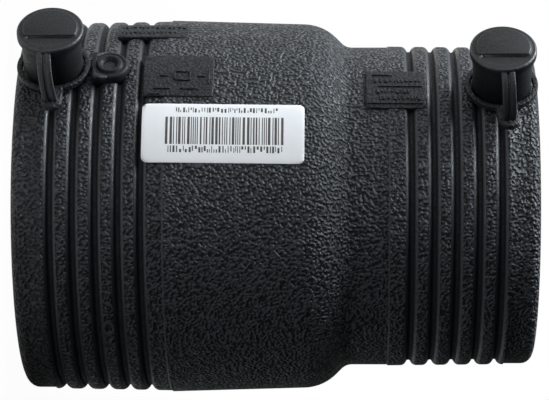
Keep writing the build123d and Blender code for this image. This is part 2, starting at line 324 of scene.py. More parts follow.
# inside, from the small mouth down, with both pipe stops and the throat between them
lead, end_face, throat = BORE["lead"], BORE["end_face"], BORE["throat"]
stop_edge, throat_edge = BORE["stop_edge"], BORE["throat_edge"]
run([(BORE["small"] + lead + end_face, LENGTH)], SMOOTH)
run(arc((BORE["small"] + lead, LENGTH - lead), lead, 90, 180, 4), SMOOTH)
run([(BORE["small"], z) for z in (*BORE["small_rows"], BORE["small_stop"] + stop_edge)], SMOOTH)
run([(BORE["small"] - stop_edge, BORE["small_stop"]), (throat + throat_edge, BORE["small_stop"])], SMOOTH)
run([(throat, BORE["small_stop"] - throat_edge), (throat, BORE["large_stop"] + throat_edge)], SMOOTH)
run([(throat + throat_edge, BORE["large_stop"]), (BORE["large"] - stop_edge, BORE["large_stop"])], SMOOTH)
run([(BORE["large"], z) for z in (BORE["large_stop"] - stop_edge, *BORE["large_rows"])], SMOOTH)
run(arc((BORE["large"] + lead, lead), lead, 180, 270, 4), SMOOTH)
run([(BORE["large"] + lead + end_face, 0)], SMOOTH)


def black_polyethylene(name, colours, roughness, grain_mm, grain_depth_mm, gloss):
    """Moulded polyethylene, black right through, with the tool's grain. Colours: valleys, painted darker as
    painted shade, and ridges, painted lighter as painted highlight.
    """
    material = bpy.data.materials.new(name)
    tree = empty_tree(material)
    place = add_node(tree, "ShaderNodeTexCoord").outputs["Object"]
    # noise without octaves, whose ridges lie about 1.35 of its units apart: short worms of even width
    worms = add_node(tree, "ShaderNodeTexNoise",
                     {"Vector": place, "Scale": 1.35 / (grain_mm * MM), "Detail": 0.0})
    ridges_for_relief_and_painted_light = add_node(tree, "ShaderNodeMapRange", {0: worms.outputs["Fac"], 1: 0.3, 2: 0.7, 3: 0.0, 4: 1.0})
    # a finer pebble on top of it, 0.08 as high
    fine = add_node(tree, "ShaderNodeTexNoise",
                    {"Vector": place, "Scale": 3.2 / (grain_mm * MM), "Detail": 2.0})
    height = add_node(tree, "ShaderNodeMath", {0: fine.outputs["Fac"], 1: 0.08, 2: ridges_for_relief_and_painted_light.outputs[0]},
                      operation="MULTIPLY_ADD")
    bump = add_node(tree, "ShaderNodeBump",
                    {"Strength": 1.0, "Distance": grain_depth_mm * MM, "Height": height.outputs[0]})
    # tops of the ridges are painted paler than the valleys as painted highlight, the valleys darker as
    # painted shade; the tops are also smoother
    tone = add_node(tree, "ShaderNodeMix",
                    {0: ridges_for_relief_and_painted_light.outputs[0], 6: linear(colours[0]), 7: linear(colours[1])}, data_type="RGBA")
    rough = add_node(tree, "ShaderNodeMapRange",
                     {0: ridges_for_relief_and_painted_light.outputs[0], 1: 0.0, 2: 1.0, 3: roughness + 0.25, 4: roughness})
    skin = add_node(tree, "ShaderNodeBsdfPrincipled",
                    {"Base Color": tone.outputs[2], "Roughness": rough.outputs[0], "IOR": 1.51,
                     "Specular IOR Level": gloss, "Normal": bump.outputs[0]})
    add_node(tree, "ShaderNodeOutputMaterial", {"Surface": skin.outputs[0]})
    return material


# leather grain with ridges about 1 mm apart: many small glints on a dark ground, the ridges painted pale as
# painted highlight and the valleys near black as painted shade
grained_polyethylene = black_polyethylene(
    "polyethylene_leather_grained", ("#040505", "#404449"),
    roughness=0.38, grain_mm=1.0, grain_depth_mm=0.54, gloss=0.3)
# unetched parts of the tool: even satin with only a faint pebble
smooth_polyethylene = black_polyethylene(
    "polyethylene_smooth_moulded", ("#0f1114", "#15181b"),
    roughness=0.5, grain_mm=0.6, grain_depth_mm=0.016, gloss=0.28)
# rims of the grooves and other standing edges: a narrow shine from more gloss, and a lighter black than the
# smooth and groove ones, a painted highlight
rim_polyethylene = black_polyethylene(
    "polyethylene_rim_painted_highlight", ("#1d2124", "#292d31"),
    roughness=0.34, grain_mm=0.8, grain_depth_mm=0.03, gloss=0.5)
# turned flanks and floors of the grooves: dull, without sheen, and a darker black as painted shade
groove_polyethylene = black_polyethylene(
    "polyethylene_groove_matt_painted_shade", ("#15181b", "#1e2124"),
    roughness=0.58, grain_mm=0.8, grain_depth_mm=0.05, gloss=0.28)
# exchangeable plates, etched a little finer and much shallower: a soft, even mottle
plate_polyethylene = black_polyethylene(
    "polyethylene_plate_fine_grained", ("#0b0d10", "#1c2023"),
    roughness=0.46, grain_mm=0.9, grain_depth_mm=0.14, gloss=0.3)

section_mesh = bpy.data.meshes.new("sleeve_section")
section_mesh.from_pydata(
    [(r * MM, z * MM, 0) for r, z, _ in section],
    [(i, (i + 1) % len(section)) for i in range(len(section))], [])
finish_kind = section_mesh.attributes.new("finish", "FLOAT", "POINT")
for i, (_, _, finish) in enumerate(section):
    finish_kind.data[i].value = finish
sleeve_source = bpy.data.objects.new("sleeve_source", section_mesh)
bpy.context.scene.collection.objects.link(sleeve_source)

revolve = bpy.data.node_groups.new("revolved_section", "GeometryNodeTree")
revolve.interface.new_socket("Section", in_out="INPUT", socket_type="NodeSocketGeometry")
segments_input = revolve.interface.new_socket("Segments", in_out="INPUT", socket_type="NodeSocketInt")
revolve.interface.new_socket("Body", in_out="OUTPUT", socket_type="NodeSocketGeometry")
given = add_node(revolve, "NodeGroupInput")
turned = add_node(revolve, "GeometryNodeMeshToCurve", {"Mesh": given.outputs["Section"]})
hub_radius = 1 * MM
inward = add_node(revolve, "GeometryNodeTransform",
                  {"Geometry": turned.outputs[0], "Translation": (-hub_radius, 0, 0)})
circle = add_node(revolve, "GeometryNodeCurvePrimitiveCircle",
                  {"Resolution": given.outputs["Segments"], "Radius": hub_radius})
upright = add_node(revolve, "GeometryNodeSetCurveNormal", {"Curve": circle.outputs[0]}, mode="Z_UP")
swept = add_node(revolve, "GeometryNodeCurveToMesh",
                 {"Curve": upright.outputs[0], "Profile Curve": inward.outputs[0]})
standing = add_node(revolve, "GeometryNodeTransform",
                    {"Geometry": swept.outputs[0], "Rotation": (math.pi, 0, 0)})
real = add_node(revolve, "GeometryNodeRealizeInstances", {0: standing.outputs[0]})
skinned = add_node(revolve, "GeometryNodeSetMaterial",
                   {"Geometry": real.outputs[0], "Material": smooth_polyethylene})
# each face takes the finish of its points; the limits lie between the finishes' numbers
kind = add_node(revolve, "GeometryNodeInputNamedAttribute", {"Name": "finish"}, data_type="FLOAT")
for beyond, limit, material in (
    ("GREATER_THAN", 0.6, grained_polyethylene),
    ("GREATER_THAN", 1.6, rim_polyethylene),
    ("LESS_THAN", -0.4, groove_polyethylene),
):
    chosen = add_node(revolve, "FunctionNodeCompare", {0: kind.outputs[0], 1: limit}, operation=beyond)
    skinned = add_node(revolve, "GeometryNodeSetMaterial",
                       {"Geometry": skinned.outputs[0], "Selection": chosen.outputs[0],
                        "Material": material})
add_node(revolve, "NodeGroupOutput", {0: skinned.outputs[0]})


def evaluated(source, tree, sizes):
    """Plain mesh of the source after the tree, with the inputs given by socket identifier."""
    modifier = source.modifiers.new("build", "NODES")
    modifier.node_group = tree
    for identifier, value in sizes.items():
        modifier[identifier] = value
    graph = bpy.context.evaluated_depsgraph_get()
    result = bpy.data.meshes.new_from_object(
        source.evaluated_get(graph), preserve_all_data_layers=True, depsgraph=graph)
    source.modifiers.remove(modifier)
    return result


SEGMENTS = 256          # about 1.2 mm each round the barrel
sleeve_mesh = evaluated(sleeve_source, revolve, {segments_input.identifier: SEGMENTS})
bpy.data.objects.remove(sleeve_source)


def piece(name, mesh, body):
    """Puts a finished mesh in the scene as one smooth-shaded piece that rides on a body."""
    for face in mesh.polygons:
        face.use_smooth = True
    item = bpy.data.objects.new(name, mesh)
    bpy.context.scene.collection.objects.link(item)
    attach(item, body)
    return item


sleeve = piece("sleeve", sleeve_mesh, "coupler")
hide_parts("body")


# ------------------------------------------------------------------ moulded panels on the sleeve
# Where the tool carries exchangeable plates the skin is lightly grained and stands 0.3 mm proud: one
# by the terminals, one beside it and one on the small barrel. Each carries only plain raised marks.
def steps_across(half, edge, pitch):
    """Places from -half to half, crowded near both ends for a rounded edge."""
    inner = half - edge
    count = max(1, round(2 * inner / pitch))
    near = [edge * f for f in (0.0, 0.12, 0.35, 0.65)]
    even = [-inner + 2 * inner * i / count for i in range(count + 1)]
    return [-half + d for d in near] + even + [half - d for d in reversed(near)]


def wrapped_plate(mesh, skin, turn, middle, height, width, corner, rise, edge, root, pitch=1.2):
    """Adds a closed plate with rounded corners and edges, laid on the skin and rooted in it, in mm."""
    along, around = steps_across(height / 2, edge, pitch), steps_across(width / 2, edge, pitch)
    top, bottom = [], []
    for a in along:
        for b in around:
            past = Vector((abs(a) - height / 2 + corner, abs(b) - width / 2 + corner))
            if past.x > 0 and past.y > 0 and past.length > corner:
                past *= corner / past.length
                a_in = math.copysign(past.x + height / 2 - corner, a)
                b_in = math.copysign(past.y + width / 2 - corner, b)
            else:
                a_in, b_in = a, b
            outside = Vector((max(past.x, 0), max(past.y, 0)))
            depth = corner - outside.length - min(max(past.x, past.y), 0)
            share = min(1, max(0, depth / edge))
            base = skin(middle + a_in)
            angle = math.radians(turn) + math.asin(b_in / base)
            edge_rise = rise * math.sqrt(1 - (1 - share) ** 2)
            for rows, radius in ((top, base + edge_rise), (bottom, base - root)):
                rows.append(mesh.verts.new((radius * math.cos(angle) * MM, radius * math.sin(angle) * MM,
                                            (middle + a_in) * MM)))
    n = len(around)
    for i in range(len(along) - 1):
        for j in range(n - 1):
            k = i * n + j
            mesh.faces.new((top[k], top[k + 1], top[k + n + 1], top[k + n]))
            mesh.faces.new((bottom[k], bottom[k + n], bottom[k + n + 1], bottom[k + 1]))
    last_row = (len(along) - 1) * n
    rim = [*range(n), *(i * n + n - 1 for i in range(1, len(along))),
           *(last_row + j for j in reversed(range(n - 1))),
           *(i * n for i in reversed(range(1, len(along) - 1)))]
    for here, there in zip(rim, rim[1:] + rim[:1]):
        mesh.faces.new((top[here], bottom[here], bottom[there], top[there]))


def finished(shape, name, materials):
    """Plain mesh of a bmesh, its doubles merged and its faces turned outward."""
    bmesh.ops.remove_doubles(shape, verts=shape.verts, dist=0.001 * MM)
    bmesh.ops.dissolve_degenerate(shape, edges=shape.edges, dist=0.0005 * MM)
    bmesh.ops.recalc_face_normals(shape, faces=shape.faces)
    mesh = bpy.data.meshes.new(name)
    shape.to_mesh(mesh)
    shape.free()
    for material in materials:
        mesh.materials.append(material)
    return mesh


PANEL = {"corner": 0.8, "rise": 0.3, "edge": 0.35}
panel_shape = bmesh.new()
# skin, turn in degrees, middle, height along the bore, width round it, root
for skin, turn, middle, height, width, root in (
    (centre_skin, 2.5, 40.7, 17.4, 14.3, 2.4),
    (centre_skin, -22.0, 33.4, 18.0, 9.0, 2.4),
    (small_skin, 0.0, 94.5, 15.0, 13.6, 1.9),
):
    wrapped_plate(panel_shape, skin, turn, middle, height, width, root=root, **PANEL)
piece("moulded_panels", finished(panel_shape, "moulded_panels", [plate_polyethylene]),
      "coupler")


def over(skin, lift):
    """The skin raised by lift."""
    return lambda z: skin(z) + lift


# raised marks: thin plain bars and a small frame, as cut in the tool's plates
BAR = {"corner": 0.12, "rise": 0.3, "edge": 0.1, "root": 0.5, "pitch": 1.5}
STROKE = {**BAR, "corner": 0.1}
mark_shape = bmesh.new()
on_centre, on_small = over(centre_skin, PANEL["rise"]), over(small_skin, PANEL["rise"])
for skin, turn, z, height, width in (
    (on_centre, 8.3, 36.6, 4.2, 0.4), (on_centre, 8.3, 43.4, 4.6, 0.4),
    (on_centre, 3.4, 37.0, 2.2, 0.4), (on_centre, 3.4, 46.4, 2.0, 0.4),
    (on_centre, 1.6, 41.6, 3.6, 0.4), (on_centre, 5.0, 41.6, 3.6, 0.4),
    (on_centre, 3.3, 39.7, 0.4, 2.6), (on_centre, 3.3, 43.5, 0.4, 2.6),
    (on_centre, 3.4, 48.2, 0.4, 5.0), (on_centre, 10.3, 34.8, 3.0, 0.4),
    (on_small, 7.4, 94.2, 13.6, 0.35), (on_small, -0.6, 95.6, 11.0, 0.35),
    (on_small, -6.6, 91.0, 5.0, 0.4),
):
    wrapped_plate(mark_shape, skin, turn, z, height, width, **BAR)
# rows of short strokes of uneven width, spaced like lines of print
strokes = random.Random(5)
for skin, turn, first, last, tall in (
    (on_small, -3.6, 89.0, 100.4, 1.5), (on_small, 1.9, 89.6, 97.6, 1.3),
    (on_small, 4.9, 90.4, 100.8, 1.3),
    (on_centre, -24.6, 25.4, 41.6, 2.2), (on_centre, -20.2, 25.4, 39.4, 2.0),
):
    z = first
    while z < last:
        stroke = strokes.choice((0.35, 0.5, 0.8))
        height = tall * strokes.choice((0.55, 1.0, 1.0))
        wrapped_plate(mark_shape, skin, turn, z + stroke / 2, stroke, height, **STROKE)
        z += stroke + strokes.choice((0.4, 0.5, 0.7))
piece("panel_marks", finished(mark_shape, "panel_marks", [plate_polyethylene]),
      "coupler")


# ------------------------------------------------------------------ indicator boss and terminal shrouds
# Turned parts of the same moulding: a low boss with a collar round the fusion indicator, and a tube
# round each contact pin, open at the top where the welding lead is pushed in.
def turned_shell(shape, place, points, steps=72, closed=False):
    """Lathe shell about the place's Z axis through (radius, height) points in mm. Radius 0 is a pole."""
    rings = []
    for radius, height in points:
        if radius == 0:
            rings.append([shape.verts.new(place @ Vector((0, 0, height * MM)))])
        else:
            rings.append([
                shape.verts.new(place @ Vector((radius * MM * math.cos(math.tau * i / steps),
                                                radius * MM * math.sin(math.tau * i / steps), height * MM)))
                for i in range(steps)])
    for low, high in zip(rings, rings[1:] + rings[:1] if closed else rings[1:]):
        for i in range(steps):
            j = (i + 1) % steps
            if len(low) == 1 and len(high) > 1:
                shape.faces.new((low[0], high[j], high[i]))
            elif len(high) == 1 and len(low) > 1:
                shape.faces.new((low[i], low[j], high[0]))
            elif len(low) > 1:
                shape.faces.new((low[i], low[j], high[j], high[i]))


def radial(radius, z, turn=0.0):
    """Place on the sleeve whose Z axis points outward, in mm and degrees."""
    outward = Matrix(((0, 0, 1, 0), (0, 1, 0, 0), (-1, 0, 0, 0), (0, 0, 0, 1)))
    spin = Matrix.Rotation(math.radians(turn), 4, "Z")
    return spin @ Matrix.Translation((radius * MM, 0, z * MM)) @ outward


def soft(corners, reach=0.25, steps=4, closed=False):
    """Section with its corners rounded. Each corner may carry its own reach as a third number."""
    points = [Vector(c[:2]) for c in corners]
    count = len(points)
    result = []
    for i, point in enumerate(points):
        own = corners[i][2] if len(corners[i]) > 2 else reach
        if own == 0 or (not closed and i in (0, count - 1)):
            result.append(tuple(point))
        else:
            result += [tuple(p) for p in rounded(points[i - 1], point, points[(i + 1) % count], own, steps)]
    return result


# heights along the bore, and the sizes of a shroud and of the boss, in mm apart from the steps
INDICATOR = 23.5
terminal_height = {"large": 9.6, "small": LENGTH - 9.3}
terminal_skin = {"large": large_skin(terminal_height["large"]),
                 "small": small_skin(terminal_height["small"])}
SHROUD = {"outer": 7.3, "inner": 6.0, "rise": 11.6, "root": 2.5, "rim_round": 0.35, "steps": 96,
          "floor": 0.05, "floor_root": 1.0, "floor_lap": 0.2, "pin_land": 2.1}
BOSS = {"bore": 1.5, "radius": 4.7, "run": 4.4, "rise": 2.0, "root": 2.4, "edge": 0.5, "foot": 3.3}

boss_shape = bmesh.new()
boss_foot = radial(large_skin(INDICATOR), INDICATOR)
# rounded shoulder, a shallow ring cut, then the collar that stands a little higher round the bore
boss_outline = [
    (BOSS["bore"], -BOSS["root"], 0), (BOSS["radius"], -BOSS["root"], 0), (BOSS["radius"], 1.85, 0.6),
    (3.9, BOSS["rise"], 0.2), (3.7, 1.8, 0.15), (3.3, 1.8, 0.15), (3.05, 2.5, 0.4), (2.3, 2.45, 0.2),
    (BOSS["bore"], 1.7, 0.2),
]
turned_shell(boss_shape, boss_foot, soft(boss_outline, closed=True), closed=True)


def lofted_rows(shape, place, rows):
    """Closed shell through rows of (x, y, z) points in mm, its first and last rows filled."""
    rings = [[shape.verts.new(place @ (Vector(p) * MM)) for p in row] for row in rows]
    count = len(rings[0])
    for low, high in zip(rings, rings[1:]):
        for i in range(count):
            j = (i + 1) % count
            shape.faces.new((low[i], low[j], high[j], high[i]))
    shape.faces.new(list(reversed(rings[0])))
    shape.faces.new(rings[-1])


# the boss runs on square towards the terminal, with the same rounded top edge and clipped corners
rows = []
for inset, height in ((0, -BOSS["root"]), (0, BOSS["rise"] - BOSS["edge"]), (0.07, BOSS["rise"] - 0.25),
                      (0.24, BOSS["rise"] - 0.07), (BOSS["edge"], BOSS["rise"] - 0.01)):
    half, near, far = BOSS["radius"] - inset, BOSS["foot"], BOSS["run"] - inset
    rows.append([(x, y, height) for x, y in (
        (near * 0.1, -half), (far - 0.5, -half), (far - 0.15, -half + 0.15), (far, -half + 0.5),
        (far, half - 0.5), (far - 0.15, half - 0.15), (far - 0.5, half), (near * 0.1, half),
        (near, half * 0.7), (near, -half * 0.7))])
lofted_rows(boss_shape, boss_foot, rows)
shroud_outline = soft([
    (SHROUD["inner"], -SHROUD["root"], 0), (SHROUD["outer"], -SHROUD["root"], 0),
    (SHROUD["outer"], SHROUD["rise"], SHROUD["rim_round"]),
    (SHROUD["inner"], SHROUD["rise"], SHROUD["rim_round"]),
], closed=True)
floor_edge = SHROUD["inner"] + SHROUD["floor_lap"]
shroud_floor = [(0, -SHROUD["floor_root"]), (floor_edge, -SHROUD["floor_root"]),
                (floor_edge, SHROUD["floor"]), (SHROUD["pin_land"], SHROUD["floor"]), (0, SHROUD["floor"])]
for end in ("large", "small"):
    foot = radial(terminal_skin[end], terminal_height[end])
    turned_shell(boss_shape, foot, shroud_outline, steps=SHROUD["steps"], closed=True)
    turned_shell(boss_shape, foot, shroud_floor, steps=SHROUD["steps"])
piece("boss_and_shrouds", finished(boss_shape, "boss_and_shrouds", [smooth_polyethylene]),
      "coupler")


# ------------------------------------------------------------------ gate mark
# Where the moulding's feed was broken off: an oval ring of the body's own polyethylene, all in the
# lighter rim black, a painted highlight. It is level with the indicator, nearly a quarter turn away from
# it.
GATE = {"turn": 84.0, "inner": 0.8, "outer": 1.5, "rise": 0.3, "root": 0.5, "edge": 0.2, "oval": 1.6}
gate_shape = bmesh.new()
gate_foot = radial(large_skin(INDICATOR), INDICATOR, GATE["turn"])
gate_place = gate_foot @ Matrix.Diagonal((1.0, GATE["oval"], 1.0, 1.0))
gate_outline = [(GATE["inner"], -GATE["root"], 0), (GATE["outer"], -GATE["root"], 0),
                (GATE["outer"], GATE["rise"], GATE["edge"]), (GATE["inner"], GATE["rise"], GATE["edge"])]
turned_shell(gate_shape, gate_place, soft(gate_outline, closed=True), steps=40, closed=True)
piece("gate_mark", finished(gate_shape, "gate_mark", [rim_polyethylene]), "coupler")


# ------------------------------------------------------------------ heating wire
# Resistance wire wound in a helix on the wall of each socket, which melts the polyethylene round it
# when current runs. It is bright drawn alloy and shows as fine turns.
def speckled(name, colours, roughness, spots_per_mm, detail, relief, finish, stretch=None):
    """Material whose colour, roughness and relief (strength, mm) follow one noise, stretched or not."""
    material = bpy.data.materials.new(name)
    tree = empty_tree(material)
    place = add_node(tree, "ShaderNodeTexCoord").outputs["Object"]
    if stretch:
        place = add_node(tree, "ShaderNodeMapping", {"Vector": place, "Scale": stretch}).outputs[0]
    spots = add_node(tree, "ShaderNodeTexNoise",
                     {"Vector": place, "Scale": spots_per_mm / MM, "Detail": detail}).outputs["Fac"]
    tone = add_node(tree, "ShaderNodeMix", {0: spots, 6: linear(colours[0]), 7: linear(colours[1])},
                    data_type="RGBA")
    rough = add_node(tree, "ShaderNodeMapRange",
                     {0: spots, 1: 0.3, 2: 0.7, 3: roughness[0], 4: roughness[1]})
    bump = add_node(tree, "ShaderNodeBump",
                    {"Strength": relief[0], "Distance": relief[1] * MM, "Height": spots})
    skin = add_node(tree, "ShaderNodeBsdfPrincipled",
                    {"Base Color": tone.outputs[2], "Roughness": rough.outputs[0],
                     "Normal": bump.outputs[0], **finish})
    add_node(tree, "ShaderNodeOutputMaterial", {"Surface": skin.outputs[0]})
    return material


# drawn copper alloy: a warm metal, tarnished in patches about 5.5 mm apart
wire_alloy = speckled(
    "drawn_resistance_wire", ("#b9805a", "#7c5138"), roughness=(0.28, 0.45), spots_per_mm=0.18,
    detail=3.0, relief=(0.3, 0.01), finish={"Metallic": 1.0})

# set_in: how far the wire's middle stands inside the bore's wall
WIRE = {"pitch": 1.6, "radius": 0.17, "set_in": 0.23, "large_length": 24.0, "small_length": 22.0}
winding = bpy.data.node_groups.new("winding", "GeometryNodeTree")
sizes = {}
for name in ("Turns", "Coil Radius", "Length", "Start"):
    socket = winding.interface.new_socket(name, in_out="INPUT", socket_type="NodeSocketFloat")
    sizes[name] = socket.identifier
winding.interface.new_socket("Wire", in_out="OUTPUT", socket_type="NodeSocketGeometry")
given = add_node(winding, "NodeGroupInput")
helix = add_node(winding, "GeometryNodeCurveSpiral", {
    "Resolution": 72, "Rotations": given.outputs["Turns"], "Start Radius": given.outputs["Coil Radius"],
    "End Radius": given.outputs["Coil Radius"], "Height": given.outputs["Length"]})
rise = add_node(winding, "ShaderNodeCombineXYZ", {"Z": given.outputs["Start"]})
placed = add_node(winding, "GeometryNodeTransform",
                  {"Geometry": helix.outputs[0], "Translation": rise.outputs[0]})
gauge = add_node(winding, "GeometryNodeCurvePrimitiveCircle",
                 {"Resolution": 6, "Radius": WIRE["radius"] * MM})
drawn = add_node(winding, "GeometryNodeCurveToMesh", {
    "Curve": placed.outputs[0], "Profile Curve": gauge.outputs[0], "Fill Caps": True})
real = add_node(winding, "GeometryNodeRealizeInstances", {0: drawn.outputs[0]})
coppery = add_node(winding, "GeometryNodeSetMaterial",
                   {"Geometry": real.outputs[0], "Material": wire_alloy})
add_node(winding, "NodeGroupOutput", {0: coppery.outputs[0]})

wire_low, wire_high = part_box("heating_wire")
both = bmesh.new()
for bore, start, length in (
    (BORE["large"], wire_low.z / MM, WIRE["large_length"]),
    (BORE["small"], wire_high.z / MM - WIRE["small_length"], WIRE["small_length"]),
):
    source = bpy.data.objects.new("wire_source", bpy.data.meshes.new("wire_source"))
    bpy.context.scene.collection.objects.link(source)
    run_length = length - 2 * WIRE["radius"]
    both.from_mesh(evaluated(source, winding, {
        sizes["Turns"]: run_length / WIRE["pitch"], sizes["Coil Radius"]: (bore - WIRE["set_in"]) * MM,
        sizes["Length"]: run_length * MM, sizes["Start"]: (start + WIRE["radius"]) * MM}))
    bpy.data.objects.remove(source)
wire = piece("heating_turns", finished(both, "heating_turns", [wire_alloy]),
             "coupler")
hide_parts("heating_wire")


# ------------------------------------------------------------------ contact pins
# Turned brass pins, one standing in each shroud, which the welding lead is pushed on to. They are the
# CAD part's own mesh with a finish.

# turned brass: bright and yellow, with fine lines round each pin, about 5 to the millimetre, which is
# coarser than real so that they show
brass = speckled(
    "brass_turned", ("#d8b56a", "#c29a4c"), roughness=(0.18, 0.3), spots_per_mm=0.9, detail=2.0,
    relief=(0.4, 0.01), finish={"Metallic": 1.0}, stretch=(6.0, 0.4, 0.4))
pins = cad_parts["contact_pins"]
pins.data.materials.clear()
pins.data.materials.append(brass)


# ------------------------------------------------------------------ terminal caps
# One satin polyethylene moulding each: a disc with a raised D and a pull slot, a plug in the shroud,
# and a grooved strap bowed down to a tether ring round the shroud's foot.

# polished tool: even and dark, with one broad soft shine
satin_polyethylene = black_polyethylene(
    "polyethylene_satin_cap", ("#0c0d0f", "#121315"),
    roughness=0.44, grain_mm=0.6, grain_depth_mm=0.006, gloss=0.3)

# in mm and degrees; slot is length, width and depth, strap is width and thickness
CAP = {
    "disc": 8.25, "thickness": 2.2, "gap": 0.1, "plug": 5.85, "plug_depth": 4.0,
    "plate": 6.7, "plate_height": 0.35, "chord": 2.5, "slot": (10.4, 1.1, 0.9), "slot_gap": 0.03,
    "ring_inner": 7.8, "ring_outer": 9.1, "ring": 1.6, "ring_lift": 0.45, "lug": 2.6, "lug_reach": 13.0,
    "strap": (3.4, 1.4), "strap_reach": 12.6, "strap_groove": {"top": 0.42, "floor": 0.3, "depth": 0.4},
    "strap_turn": {"large": -1.8, "small": 6.0}, "strap_lean": {"large": 1.3, "small": 0.0},
}


def strap_rows(path, section):
    """Rows of points of a section of (across, out) points swept along (x, z, sideways) points."""
    rows = []
    for i, (x, z, sideways) in enumerate(path):
        ahead, behind = path[min(i + 1, len(path) - 1)], path[max(i - 1, 0)]
        along = (Vector(ahead[:2]) - Vector(behind[:2])).normalized()
        outward = Vector((-along.y, along.x))
        rows.append([(x + outward.x * out, sideways + across, z + outward.y * out)
                     for across, out in section])
    return rows


def circle_through(a, b, c):
    """Centre and radius of the circle through three points."""
    d = 2 * (a.x * (b.y - c.y) + b.x * (c.y - a.y) + c.x * (a.y - b.y))
    aa, bb, cc = a.length_squared, b.length_squared, c.length_squared
    centre = Vector(((aa * (b.y - c.y) + bb * (c.y - a.y) + cc * (a.y - b.y)) / d,
                     (aa * (c.x - b.x) + bb * (a.x - c.x) + cc * (b.x - a.x)) / d))
    return centre, (a - centre).length


def make_cap(end, side):
    """Mesh of one terminal cap. side is the nearer mouth's side along the bore, -1 or 1."""
    height = terminal_height[end]
    rim = terminal_skin[end] + SHROUD["rise"]
    turn = math.radians(CAP["strap_turn"][end])
    away = Vector((0, math.cos(turn), side * math.sin(turn)))
    out = Vector((1, 0, 0))
    cross = out.cross(away)
    # seat: X along the strap; chord: X square to the slot, for the D and its slot. Z is outward in both
    middle = Matrix.Translation((rim * MM, 0, height * MM))
    seat = middle @ Matrix((away, cross, out)).transposed().to_4x4()
    chord = middle @ Matrix(((0, 1, 0), (0, 0, 1), out)).transposed().to_4x4()
    gap, top = CAP["gap"], CAP["gap"] + CAP["thickness"]
    shape = bmesh.new()
    turned_shell(shape, seat, soft([
        (0, -CAP["plug_depth"]), (CAP["plug"], -CAP["plug_depth"], 0.5), (CAP["plug"], gap, 0.15),
        (CAP["disc"], gap, 0.35), (CAP["disc"], top, 0.75), (0, top)], steps=6), steps=96)
    # raised D with rounded edges, its straight side along the slot
    reach = math.acos(CAP["chord"] / CAP["plate"])
    outline = [(CAP["plate"] * math.cos(a), CAP["plate"] * math.sin(a)) for a in (
        reach + (math.tau - 2 * reach) * i / 72 for i in range(73))]
    rows = []
    for inset, lift in ((0, -0.3), (0, CAP["plate_height"] - 0.2), (0.06, CAP["plate_height"] - 0.06),
                        (0.2, CAP["plate_height"])):
        share = 1 - inset / CAP["plate"]
        rows.append([(min(x * share, CAP["chord"] - inset), y * share, top + lift) for x, y in outline])
    lofted_rows(shape, chord, rows)
    # tether ring with the tab and round lug that the strap runs into
    skin = large_skin if end == "large" else small_skin
    band = BARREL["band"] / 2 if end == "large" else BARREL["small_band"] / 2
    foot = max(band, skin(height - side * CAP["ring_outer"])) + CAP["ring_lift"] - rim
    ring_top = foot + CAP["ring"]
    ring_outline = [(CAP["ring_inner"], foot), (CAP["ring_outer"], foot),
                    (CAP["ring_outer"], ring_top), (CAP["ring_inner"], ring_top)]
    turned_shell(shape, seat, soft(ring_outline, reach=0.35, closed=True), steps=96, closed=True)
    rows = []
    for inset, z in ((0.35, foot), (0.1, foot + 0.1), (0, foot + 0.35), (0, ring_top - 0.45),
                     (0.13, ring_top - 0.13), (0.45, ring_top)):
        half = CAP["lug"] - inset
        tip = [(CAP["lug_reach"] + half * math.sin(a), half * math.cos(a), z) for a in (
            math.pi * i / 20 for i in range(21))]
        rows.append([(CAP["ring_inner"] + 0.4, half, z), *tip, (CAP["ring_inner"] + 0.4, -half, z)])
    lofted_rows(shape, seat, rows)
    # bowed strap with a groove down its middle
    start = Vector((CAP["disc"] - CAP["strap"][1] / 2, gap + CAP["thickness"] / 2))
    bow = Vector((CAP["strap_reach"], foot / 2))
    last = Vector((CAP["lug_reach"], foot + CAP["ring"] / 2))
    centre, radius = circle_through(start, bow, last)
    first = math.atan2(start.y - centre.y, start.x - centre.x)
    final = math.atan2(last.y - centre.y, last.x - centre.x)
    path, path_steps = [], 24
    for i in range(path_steps + 1):
        angle = first + (final - first) * i / path_steps
        lean = side * CAP["strap_lean"][end] * (1 - (i / path_steps) ** 2)
        path.append((centre.x + radius * math.cos(angle), centre.y + radius * math.sin(angle), lean))
    half, thick = CAP["strap"][0] / 2, CAP["strap"][1] / 2
    groove_top, groove_floor = CAP["strap_groove"]["top"], CAP["strap_groove"]["floor"]
    groove_low = thick - CAP["strap_groove"]["depth"]
    section = [(-half, -thick), (half, -thick), (half, thick),
               (groove_top, thick, 0.12), (groove_floor, groove_low, 0.1),
               (-groove_floor, groove_low, 0.1), (-groove_top, thick, 0.12), (-half, thick)]
    lofted_rows(shape, seat, strap_rows(path, soft(section, reach=0.4, steps=3, closed=True)))
    # rounded edges of the disc and of the D, and the strap, take the lighter rim black, a painted
    # highlight; ring and lug are grained
    shape.normal_update()
    to_seat = seat.inverted()
    for face in shape.faces:
        spot = to_seat @ face.calc_center_median() / MM
        sloped = 0.15 < abs(face.normal.dot(out)) < 0.97
        on_strap = ring_top + 0.2 < spot.z < top - 0.6 and spot.x > CAP["disc"] + 0.05
        on_disc_edge = spot.z > top - 0.75 and spot.xy.length > CAP["disc"] - 0.75
        if on_strap or sloped and (spot.z > top or on_disc_edge):
            face.material_index = 1
        elif spot.z < ring_top + 0.1 and spot.xy.length > CAP["ring_inner"] - 0.1:
            face.material_index = 2
    skins = [satin_polyethylene, rim_polyethylene, plate_polyethylene]
    return finished(shape, end + "_cap", skins), chord, top


